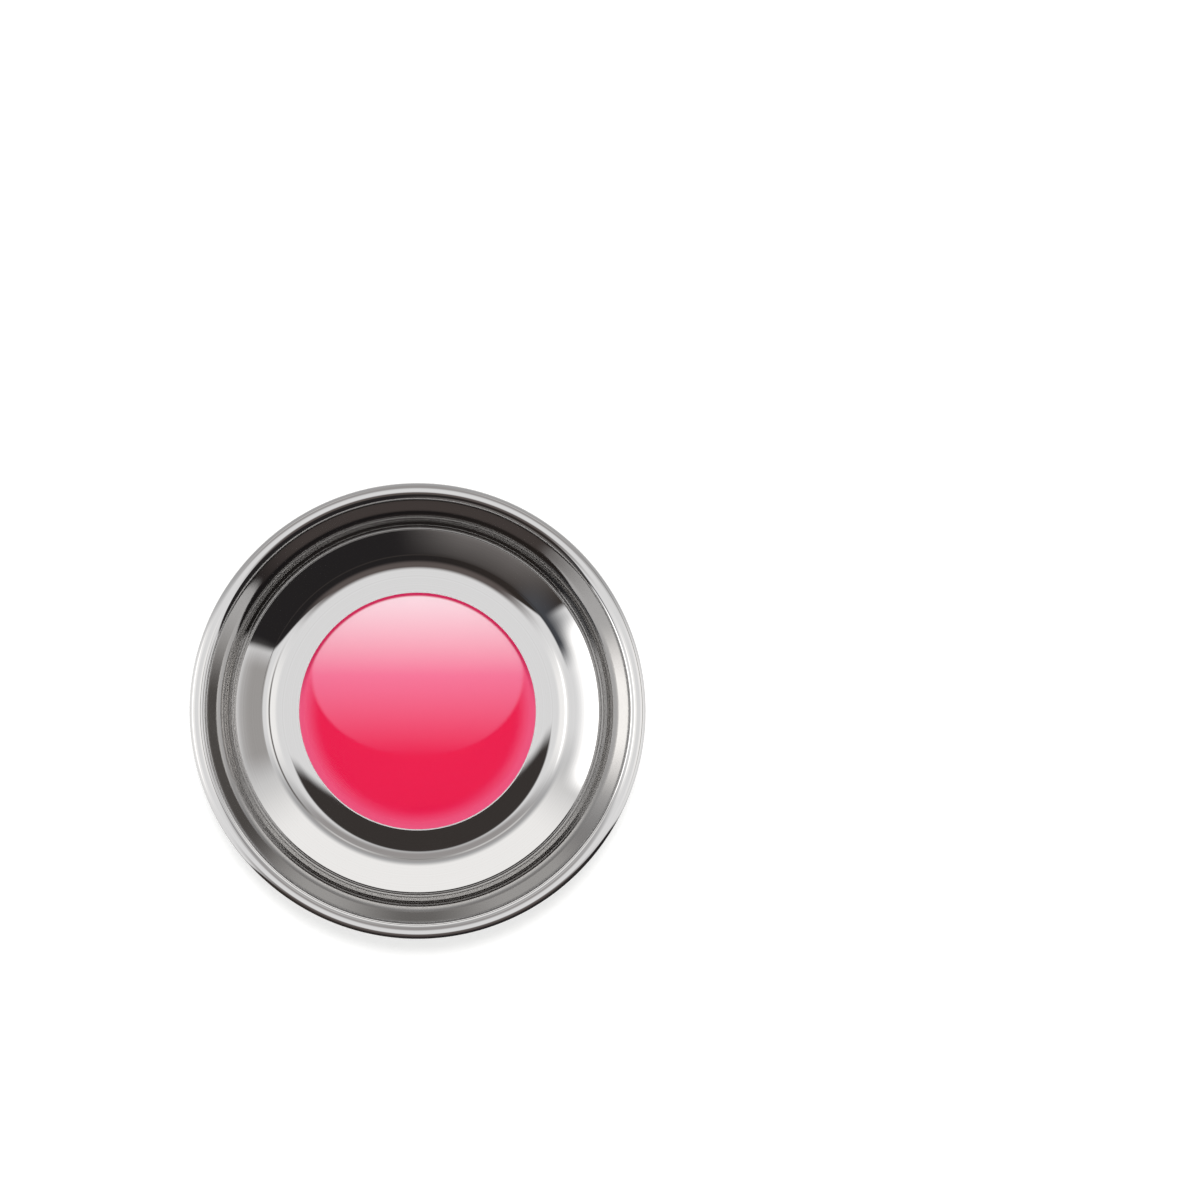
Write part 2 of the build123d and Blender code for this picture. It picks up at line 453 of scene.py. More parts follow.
@dataclass(frozen=True)
class Stainless:
    """Spun and polished 18/8 stainless steel: a mirror inside, satin outside where only the buff has passed.

    It shows the room almost sharp in the dish, with the spinning tool's fine rings, a slight wave left by the
    drawing, and a few wiped smudges; outside, the light spreads into soft grey bands over a colour darkened
    by painted shade.
    """

    colour: str = "#c2c1c0"
    tint: str = "#b7b5b3"
    mirror_roughness: float = 0.02
    satin_roughness: float = 0.3
    satin_painted_shade: float = 0.84  # of the mirror's brightness: painted shade that darkens the satin outside's colour
    ring_spacing: float = 0.35  # mm; real tool marks are 0.1 mm, drawn coarser so that they show
    ring_relief: float = 0.002  # mm
    ring_roughness: float = 0.02
    wave_length: float = 24.0  # mm, of the sheet's slow waves
    wave_relief: float = 0.03  # mm
    smudge_size: float = 14.0  # mm
    smudge_span: Point = (0.5, 0.75)  # of its noise, between which a smudge fades in
    smudge_roughness: float = 0.035

    def build(self) -> bpy.types.Material:
        """Build the material.

        Returns:
            The material.
        """
        mat, tree = new_material("polished_stainless_steel")
        inside = add(tree, "ShaderNodeAttribute", attribute_name=Lathe.INSIDE).outputs["Fac"]
        along = add(tree, "ShaderNodeAttribute", attribute_name=Lathe.ALONG).outputs["Fac"]
        place = add(tree, "ShaderNodeTexCoord").outputs["Object"]
        rings = add(
            tree,
            "ShaderNodeTexNoise",
            {"W": along, "Scale": 1 / self.ring_spacing, "Detail": 3.0, "Roughness": 0.7},
            noise_dimensions="1D",
        ).outputs["Fac"]
        waves = add(
            tree, "ShaderNodeTexNoise", {"Vector": place, "Scale": 1 / (self.wave_length * MM), "Detail": 1.0}
        ).outputs["Fac"]
        smudges = add(
            tree,
            "ShaderNodeTexNoise",
            {"Vector": place, "Scale": 1 / (self.smudge_size * MM), "Detail": 5.0, "Distortion": 0.6},
        ).outputs["Fac"]
        wiped = add(
            tree,
            "ShaderNodeMapRange",
            {
                "Value": smudges,
                "From Min": self.smudge_span[0],
                "From Max": self.smudge_span[1],
                "To Max": self.smudge_roughness,
            },
        ).outputs[0]
        base = add(
            tree,
            "ShaderNodeMapRange",
            {"Value": inside, "To Min": self.satin_roughness, "To Max": self.mirror_roughness},
        ).outputs[0]
        ringed = add(
            tree, "ShaderNodeMath", {0: rings, 1: self.ring_roughness, 2: base}, operation="MULTIPLY_ADD"
        ).outputs[0]
        roughness = add(tree, "ShaderNodeMath", {0: ringed, 1: wiped}, operation="ADD").outputs[0]
        colour = add(
            tree, "ShaderNodeMix", {0: rings, 6: linear(self.tint), 7: linear(self.colour)}, data_type="RGBA"
        ).outputs[2]
        # painted shade: the outside's colour is scaled down to a share of the inside's, so the same steel
        # looks darker outside
        level = add(
            tree, "ShaderNodeMapRange", {"Value": inside, "To Min": self.satin_painted_shade, "To Max": 1.0}
        ).outputs[0]
        seen = add(tree, "ShaderNodeVectorMath", {0: colour, "Scale": level}, operation="SCALE").outputs[0]
        slow = add(
            tree, "ShaderNodeBump", {"Height": waves, "Strength": 0.5, "Distance": self.wave_relief * MM}
        ).outputs[0]
        fine = add(
            tree,
            "ShaderNodeBump",
            {"Height": rings, "Normal": slow, "Strength": 0.2, "Distance": self.ring_relief * MM},
        ).outputs[0]
        steel = add(
            tree,
            "ShaderNodeBsdfPrincipled",
            {"Base Color": seen, "Metallic": 1.0, "Roughness": roughness, "Normal": fine},
        )
        add(tree, "ShaderNodeOutputMaterial", {"Surface": steel.outputs[0]})
        return mat


@dataclass(frozen=True)
class DomedResin:
    """Clear doming resin: poured polyurethane, water-clear and wet-looking, self-levelled to a lens."""

    colour: str = "#fffafb"
    roughness: float = 0.015
    swell: float = 9.0  # mm, between the slow rises that pouring leaves
    swell_relief: float = 0.01  # mm
    # Cast resin has 1.49; less of it stands for a polarised lamp, which leaves the print unveiled
    ior: float = 1.2

    def build(self) -> bpy.types.Material:
        """Build the material, which lets lamplight through to the print.

        Returns:
            The material.
        """
        mat, tree = new_material("clear_domed_resin")
        place = add(tree, "ShaderNodeTexCoord").outputs["Object"]
        skin = add(
            tree, "ShaderNodeTexNoise", {"Vector": place, "Scale": 1 / (self.swell * MM), "Detail": 1.0}
        ).outputs["Fac"]
        level = add(
            tree, "ShaderNodeBump", {"Height": skin, "Strength": 0.3, "Distance": self.swell_relief * MM}
        ).outputs[0]
        resin = add(
            tree,
            "ShaderNodeBsdfPrincipled",
            {
                "Base Color": linear(self.colour),
                "Roughness": self.roughness,
                "IOR": self.ior,
                "Transmission Weight": 1.0,
                "Normal": level,
            },
        )
        clear = add(tree, "ShaderNodeBsdfTransparent", {"Color": linear(self.colour)})
        path = add(tree, "ShaderNodeLightPath").outputs
        lets = add(
            tree, "ShaderNodeMath", {0: path["Is Shadow Ray"], 1: path["Is Diffuse Ray"]}, operation="MAXIMUM"
        ).outputs[0]
        both = add(tree, "ShaderNodeMixShader", {0: lets, 1: resin.outputs[0], 2: clear.outputs[0]})
        add(tree, "ShaderNodeOutputMaterial", {"Surface": both.outputs[0]})
        return mat


@dataclass(frozen=True)
class PrintedVinyl:
    """Digitally printed vinyl film: an even pink that pales into a soft lobe at its top, finely grained.

    Attributes:
        deep: Colour of the film below the lobe, and of the lobe's foot.
        middle: Colour of the lobe's middle.
        pale: Colour of the lobe's top.
        hem: Colour towards the film's edge.
        shadow: Colour of the thin line along the film's upper edge.
        radius: The film's radius in millimetres, as are all the sizes that follow.
        hem_width: How far in from the edge the hem reaches.
        line: How far in from the edge the line starts to fade in, and where it is full.
        line_rise: Height over the middle at which the line reaches its full depth.
        lobe_up: How far the lobe's middle lies above the film's.
        lobe_width: Half the lobe's width.
        lobe_height: Half its height.
        lobe_edge: Shares of its size between which its edge fades in.
        grain: Size of the print's dots.
        grain_depth: How much lighter or darker they are, as a share.
        roughness: The film's roughness.
    """

    deep: str = "#e9144b"
    middle: str = "#f4789b"
    pale: str = "#fee6ec"
    hem: str = "#ee5b84"
    shadow: str = "#cf2c5c"
    radius: float = 29.2
    hem_width: float = 5.5
    line: Point = (1.1, 0.6)
    line_rise: float = 14.0
    lobe_up: float = 8.7
    lobe_width: float = 26.2
    lobe_height: float = 20.0
    lobe_edge: Point = (1.02, 0.97)
    grain: float = 0.25  # real print dots are 0.08 mm, drawn coarser so that they show
    grain_depth: float = 0.03
    roughness: float = 0.35
    shine: float = 0.0  # none of its own, because no air lies between it and the resin

    def build(self) -> bpy.types.Material:
        """Build the material.

        Returns:
            The material.
        """
        mat, tree = new_material("printed_vinyl_film")
        place = add(tree, "ShaderNodeTexCoord").outputs["Object"]
        axes = add(tree, "ShaderNodeSeparateXYZ", {0: place}).outputs
        across = add(
            tree, "ShaderNodeMath", {0: axes["X"], 1: self.lobe_width * MM}, operation="DIVIDE"
        ).outputs[0]
        raised = add(
            tree, "ShaderNodeMath", {0: axes["Y"], 1: self.lobe_up * MM}, operation="SUBTRACT"
        ).outputs[0]
        upward = add(
            tree, "ShaderNodeMath", {0: raised, 1: self.lobe_height * MM}, operation="DIVIDE"
        ).outputs[0]
        flat = add(tree, "ShaderNodeCombineXYZ", {0: across, 1: upward})
        far = add(tree, "ShaderNodeVectorMath", {0: flat.outputs[0]}, operation="LENGTH").outputs["Value"]
        lobe = add(
            tree,
            "ShaderNodeMapRange",
            {"Value": far, "From Min": self.lobe_edge[0], "From Max": self.lobe_edge[1]},
            interpolation_type="SMOOTHSTEP",
        ).outputs[0]
        height = add(
            tree, "ShaderNodeMapRange", {"Value": upward, "From Min": -1.0, "From Max": 1.0}
        ).outputs[0]
        lobe_colour = add(
            tree,
            "ShaderNodeValToRGB",
            {0: height},
            stops=[(0.0, self.deep), (0.5, self.middle), (1.0, self.pale)],
        ).outputs[0]
        level = add(tree, "ShaderNodeCombineXYZ", {0: axes["X"], 1: axes["Y"]}).outputs[0]
        radius = add(tree, "ShaderNodeVectorMath", {0: level}, operation="LENGTH").outputs["Value"]
        edge = add(
            tree,
            "ShaderNodeMapRange",
            {"Value": radius, "From Min": (self.radius - self.hem_width) * MM, "From Max": self.radius * MM},
            interpolation_type="SMOOTHSTEP",
        ).outputs[0]
        ground = add(
            tree, "ShaderNodeMix", {0: edge, 6: linear(self.deep), 7: linear(self.hem)}, data_type="RGBA"
        ).outputs[2]
        printed = add(
            tree, "ShaderNodeMix", {0: lobe, 6: ground, 7: lobe_colour}, data_type="RGBA"
        ).outputs[2]
        brink = add(
            tree,
            "ShaderNodeMapRange",
            {
                "Value": radius,
                "From Min": (self.radius - self.line[0]) * MM,
                "From Max": (self.radius - self.line[1]) * MM,
            },
        ).outputs[0]
        upper = add(
            tree,
            "ShaderNodeMapRange",
            {"Value": axes["Y"], "From Min": 0.0, "From Max": self.line_rise * MM},
            interpolation_type="SMOOTHSTEP",
        ).outputs[0]
        lined = add(tree, "ShaderNodeMath", {0: brink, 1: upper}, operation="MULTIPLY").outputs[0]
        print_colour = add(
            tree, "ShaderNodeMix", {0: lined, 6: printed, 7: linear(self.shadow)}, data_type="RGBA"
        ).outputs[2]
        dots = add(
            tree, "ShaderNodeTexNoise", {"Vector": place, "Scale": 1 / (self.grain * MM), "Detail": 1.0}
        ).outputs["Fac"]
        speck = add(
            tree,
            "ShaderNodeMapRange",
            {"Value": dots, "To Min": 1 - self.grain_depth, "To Max": 1 + self.grain_depth},
        ).outputs[0]
        grained = add(
            tree, "ShaderNodeVectorMath", {0: print_colour, "Scale": speck}, operation="SCALE"
        ).outputs[0]
        film = add(
            tree,
            "ShaderNodeBsdfPrincipled",
            {
                "Base Color": grained,
                "Roughness": self.roughness,
                "IOR": 1.52,
                "Specular IOR Level": self.shine,
            },
        )
        add(tree, "ShaderNodeOutputMaterial", {"Surface": film.outputs[0]})
        return mat


@dataclass(frozen=True)
class MouldedRubber:
    """Compression-moulded black nitrile rubber: a close satin black with a fine skin, its foot worn paler."""

    colour: str = "#0a0a0a"
    worn: str = "#161615"
    roughness: Point = (0.37, 0.5)
    gloss: float = 0.09  # little, because its fine skin breaks the light up
    skin: float = 0.5  # mm
    skin_relief: float = 0.02  # mm
    cloud: float = 7.0  # mm, of its uneven bloom
    worn_height: float = 2.0  # mm above the foot

    def build(self) -> bpy.types.Material:
        """Build the material.

        Returns:
            The material.
        """
        mat, tree = new_material("moulded_black_rubber")
        place = add(tree, "ShaderNodeTexCoord").outputs["Object"]
        high = add(tree, "ShaderNodeSeparateXYZ", {0: place}).outputs["Z"]
        grain = add(
            tree,
            "ShaderNodeTexNoise",
            {"Vector": place, "Scale": 1 / (self.skin * MM), "Detail": 4.0, "Roughness": 0.6},
        ).outputs["Fac"]
        blotch = add(
            tree, "ShaderNodeTexNoise", {"Vector": place, "Scale": 1 / (self.cloud * MM), "Detail": 4.0}
        ).outputs["Fac"]
        low = add(
            tree,
            "ShaderNodeMapRange",
            {"Value": high, "From Min": self.worn_height * MM, "From Max": 0.0},
            interpolation_type="SMOOTHSTEP",
        ).outputs[0]
        rubbed = add(tree, "ShaderNodeMath", {0: low, 1: blotch}, operation="MULTIPLY").outputs[0]
        colour = add(
            tree, "ShaderNodeMix", {0: rubbed, 6: linear(self.colour), 7: linear(self.worn)}, data_type="RGBA"
        ).outputs[2]
        roughness = add(
            tree,
            "ShaderNodeMapRange",
            {
                "Value": blotch,
                "From Min": MOST_NOISE[0],
                "From Max": MOST_NOISE[1],
                "To Min": self.roughness[0],
                "To Max": self.roughness[1],
            },
        ).outputs[0]
        skin = add(
            tree, "ShaderNodeBump", {"Height": grain, "Strength": 0.35, "Distance": self.skin_relief * MM}
        ).outputs[0]
        rubber = add(
            tree,
            "ShaderNodeBsdfPrincipled",
            {
                "Base Color": colour,
                "Roughness": roughness,
                "IOR": 1.52,
                "Specular IOR Level": self.gloss,
                "Normal": skin,
            },
        )
        add(tree, "ShaderNodeOutputMaterial", {"Surface": rubber.outputs[0]})
        return mat


@dataclass(frozen=True)
class PlainFinish:
    """A hidden piece's finish: one colour mottled with another, with the grain of how it was made.

    Attributes:
        name: The finish's name.
        colour: Its colour.
        mottle: The colour that it is mottled with.
        grain: Size of its grain in millimetres.
        cloud: Size of its mottling, in grains.
        relief: Height of its grain in millimetres.
        roughness: Least and most roughness.
        metallic: 1 for metal.
        ior: Index of refraction.
    """

    name: str
    colour: str
    mottle: str
    grain: float
    relief: float
    roughness: Point
    metallic: float = 0.0
    ior: float = 1.5
    cloud: float = 12.0

    def build(self) -> bpy.types.Material:
        """Build the material.

        Returns:
            The material.
        """
        mat, tree = new_material(self.name)
        place = add(tree, "ShaderNodeTexCoord").outputs["Object"]
        grain = add(
            tree, "ShaderNodeTexNoise", {"Vector": place, "Scale": 1 / (self.grain * MM), "Detail": 4.0}
        ).outputs["Fac"]
        cloud = add(
            tree,
            "ShaderNodeTexNoise",
            {"Vector": place, "Scale": 1 / (self.cloud * self.grain * MM), "Detail": 3.0},
        ).outputs["Fac"]
        colour = add(
            tree,
            "ShaderNodeMix",
            {0: cloud, 6: linear(self.colour), 7: linear(self.mottle)},
            data_type="RGBA",
        ).outputs[2]
        roughness = add(
            tree,
            "ShaderNodeMapRange",
            {
                "Value": cloud,
                "From Min": MOST_NOISE[0],
                "From Max": MOST_NOISE[1],
                "To Min": self.roughness[0],
                "To Max": self.roughness[1],
            },
        ).outputs[0]
        relief = add(
            tree, "ShaderNodeBump", {"Height": grain, "Strength": 0.5, "Distance": self.relief * MM}
        ).outputs[0]
        surface = add(
            tree,
            "ShaderNodeBsdfPrincipled",
            {
                "Base Color": colour,
                "Metallic": self.metallic,
                "Roughness": roughness,
                "IOR": self.ior,
                "Normal": relief,
            },
        )
        add(tree, "ShaderNodeOutputMaterial", {"Surface": surface.outputs[0]})
        return mat


@dataclass
class Dish:
    """The spun steel dish, turned from the line of its upper face and the sheet's thickness.

    Attributes:
        sheet: The sheet's thickness in millimetres, as are all the sizes that follow.
        rim_radius: Radius at which the lip's upper face would end if its edge weren't eased.
        rim_easing: How far that edge is rounded.
        rim_turn_step: Most degrees between two points on that edge.
        lip_reach: How far in from the rim the upper wall ends.
        lip_bend_size: Radius of the roll from the wall into the lip.
        lip_fall: Degrees that the lip falls outwards.
        wall_height: Height of the upper wall's end over the pad.
        bottom: Where the bend round the floor ends: its share of the way from the floor's edge to the
            upper wall's end, and its height over the pad.
        flare: Where the flare ends, in the same way.
        shoulder: Where the shoulder ends, in the same way.
        floor_width: How far the flat floor reaches past the pad.
        pad_radius: Radius of the pad that the label lies on.
        screw_hole: Radius of the screw's hole.
        dimple_radius: Radius of the dimple for the screw's head.
        segments: Number of segments round the axis.
    """

    sheet: float = 0.6
    rim_radius: float = 54.07
    rim_easing: float = 0.22
    rim_turn_step: float = 10.0
    lip_reach: float = 4.1
    lip_bend_size: float = 2.6
    lip_fall: float = 22.0
    wall_height: float = 22.5
    bottom: Point = (0.318, 1.83)
    flare: Point = (0.654, 6.45)
    shoulder: Point = (0.73, 8.4)
    floor_width: float = 3.7
    pad_radius: float = 29.6
    screw_hole: float = 2.65
    dimple_radius: float = 4.97
    segments: int = 320

    def outline(self) -> Outline:
        """Draw the dish's section, its upper face first and then its underside back to the screw's hole.

        Returns:
            The section.
        """
        pad = box_mm("label_tape")[0].z
        floor = self.pad_radius + self.floor_width
        wall_top = self.rim_radius - self.lip_reach
        line = Outline()
        line.put(self.screw_hole, pad - (self.dimple_radius - self.screw_hole), math.pi / 4)
        line.line(self.dimple_radius, pad)
        line.line(floor, pad)
        for share, height in (self.bottom, self.flare, self.shoulder):
            line.sweep(floor + share * (wall_top - floor), pad + height)
        line.sweep(wall_top, pad + self.wall_height)
        lean = math.degrees(line.headings[-1])
        line.bend(self.lip_bend_size, -self.lip_fall - lean)
        r, z = line.points[-1]
        fall = math.radians(self.lip_fall)
        run = (self.rim_radius - r) / math.cos(fall) - self.rim_easing
        line.line(r + run * math.cos(fall), z - run * math.sin(fall))
        under = line.beside(self.sheet)
        across = self.sheet - 2 * self.rim_easing
        line.turn_step = self.rim_turn_step
        line.bend(self.rim_easing, -90.0)
        heading = line.headings[-1]
        r, z = line.points[-1]
        line.line(r + across * math.cos(heading), z + across * math.sin(heading))
        line.bend(self.rim_easing, -90.0)
        line.points.extend(reversed(under))
        line.headings.extend(0.0 for _ in under)
        line.inside.extend(0.0 for _ in under)
        line.points.append(line.points[0])
        line.headings.append(0.0)
        line.inside.append(0.0)
        line.tidy()
        return line

    def make(self, lathe: Lathe) -> None:
        """Turn the dish and put it in place of its CAD node.

        Args:
            lathe: The tree that turns it.
        """
        piece = lathe.make("steel_dish", self.outline(), self.segments, Shade.SMOOTH, Stainless().build())
        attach(piece, "root")
        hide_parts("bowl")


@dataclass
class Label:
    """The printed film in its dome of clear resin.

    Attributes:
        dome_shoulder_inset: Millimetres in from the resin's edge at which its top turns down.
        dome_shoulder_drop: Millimetres that it has fallen by there.
        sunk: Millimetres of the resin's foot in the steel, so that no air shows between them.
        edge_easing: Millimetres by which the film's edge is rounded.
        segments: Number of segments round the axis.
    """

    dome_shoulder_inset: float = 2.6
    dome_shoulder_drop: float = 0.35
    sunk: float = 0.02
    edge_easing: float = 0.03
    segments: int = 288

    def resin_outline(self) -> Outline:
        """Draw the resin's section, from its top out and down to the pad.

        Returns:
            The section.
        """
        low, high = box_mm("label_dome")
        radius = (high.x - low.x) / 2
        line = Outline(length_step=0.8)
        line.put(0.0, high.z, 0.0)
        line.sweep(radius - self.dome_shoulder_inset, high.z - self.dome_shoulder_drop)
        line.sweep(radius, low.z)
        line.line(radius, low.z - self.sunk)
        line.line(0.0, low.z - self.sunk)
        line.tidy()
        return line

    def film_outline(self) -> Outline:
        """Draw the film's section.

        Returns:
            The section.
        """
        low, high = box_mm("label_film")
        radius = (high.x - low.x) / 2
        line = Outline(length_step=2.0, turn_step=30.0)
        line.walk(
            [
                Corner(0.0, high.z),
                Corner(radius, high.z, self.edge_easing),
                Corner(radius, low.z, self.edge_easing),
                Corner(0.0, low.z),
            ]
        )
        line.tidy()
        return line

    def make(self, lathe: Lathe) -> None:
        """Turn the film and its resin and put them in place of their CAD nodes.

        Args:
            lathe: The tree that turns them.
        """
        film = lathe.make(
            "printed_label", self.film_outline(), self.segments, Shade.CRISP, PrintedVinyl().build()
        )
        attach(film, "root")
        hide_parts("label_film")
        dome = lathe.make(
            "label_resin", self.resin_outline(), self.segments, Shade.CRISP, DomedResin().build()
        )
        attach(dome, "root")
        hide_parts("label_dome")
        for piece in (film, dome):
            piece.visible_glossy = False  # the photograph's steel doesn't mirror its label


@dataclass
class Foot:
    """The rubber boot over the pot magnet, on which the bowl stands.

    Attributes:
        wall: The rubber's thickness round the cup in millimetres, as are all the sizes that follow.
        draft: How much its radius shrinks towards the foot.
        foot_rounding: How far its lower edge is rounded.
        top_rounding: How far its upper edge is rounded.
        floor: Height of its hollow's floor.
        lip_opening: Radius of the opening round the magnet's top.
        cavity: Radius of its hollow.
        segments: Number of segments round the axis.
    """

    wall: float = 2.5
    draft: float = 0.8
    foot_rounding: float = 4.8
    top_rounding: float = 1.4
    floor: float = 1.8
    lip_opening: float = 20.0
    cavity: float = 28.05
    segments: int = 320

    def outline(self) -> Outline:
        """Draw the boot's section, from the middle of its hollow, round its lip and down to the foot.

        Returns:
            The section.
        """
        cup = box_mm("magnet_cup")[1]
        top = box_mm("rubber_boot")[1].z
        boot_radius = cup.x + self.wall
        line = Outline(turn_step=4.0, length_step=1.5)
        line.walk(
            [
                Corner(0.0, self.floor),
                Corner(self.cavity, self.floor),
                Corner(self.cavity, cup.z),
                Corner(self.lip_opening, cup.z),
                Corner(self.lip_opening, top),
                Corner(boot_radius, top, self.top_rounding),
                Corner(boot_radius - self.draft, 0.0, self.foot_rounding),
                Corner(0.0, 0.0),
            ]
        )
        line.tidy()
        return line

    def make(self, lathe: Lathe) -> None:
        """Turn the boot and put it in place of its CAD node.

        Args:
            lathe: The tree that turns it.
        """
        piece = lathe.make("rubber_foot", self.outline(), self.segments, Shade.CRISP, MouldedRubber().build())
        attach(piece, "root")
        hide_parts("rubber_boot")


@dataclass
class Hardware:
    """The pot magnet, its screw and their fellows, which keep their CAD shapes and get their finishes."""

    zinc: PlainFinish = PlainFinish(
        "bright_zinc_plate", "#c3c6ca", "#b3b7bf", 0.2, 0.004, (0.22, 0.34), metallic=1.0
    )
    ferrite: PlainFinish = PlainFinish(
        "sintered_ferrite", "#3d3d40", "#2e2e31", 0.12, 0.01, (0.5, 0.65), ior=1.6
    )
    nylon: PlainFinish = PlainFinish(
        "moulded_white_nylon", "#e9e6dc", "#dedace", 0.4, 0.01, (0.38, 0.5), ior=1.53
    )
    adhesive: PlainFinish = PlainFinish(
        "acrylic_adhesive_film", "#eee9dc", "#e4ddca", 0.3, 0.01, (0.3, 0.45), ior=1.47
    )

    def dress(self, nodes: dict[str, bpy.types.Object]) -> None:
        """Give each CAD node that stays its finish.

        Args:
            nodes: The CAD nodes by name.
        """
        worn_by = {
            self.zinc: ("magnet_cup", "screw", "flat_washer", "spring_washer", "nut"),
            self.ferrite: ("ring_magnet",),
            self.nylon: ("magnet_spacer",),
            self.adhesive: ("label_tape",),
        }
        nodes["label_tape"].visible_glossy = False
        for finish, names in worn_by.items():
            mat = finish.build()
            for name in names:
                for slot in nodes[name].material_slots:
                    slot.material = mat
                LOG.info("%s: %s", name, finish.name)


@dataclass(frozen=True)
class Panel:
    """A card, softbox or dark piece of room, as seen from the bowl.

    Attributes:
        bearing: Direction of its middle, in degrees from +X towards +Y.
        reach: Degrees to each side of that.
        low: Its lower edge's elevation in degrees.
        high: Its upper edge's elevation in degrees.
        colour: Its colour.
        strength: How many times that colour it shines.
        side_fade: Degrees to each side of its left and right edges over which they fade.
        edge_fade: The same for its lower and upper edges.
    """

    bearing: float
    reach: float
    low: float
    high: float
    colour: str
    strength: float = 1.0
    side_fade: float = 4.0
    edge_fade: float = 2.0


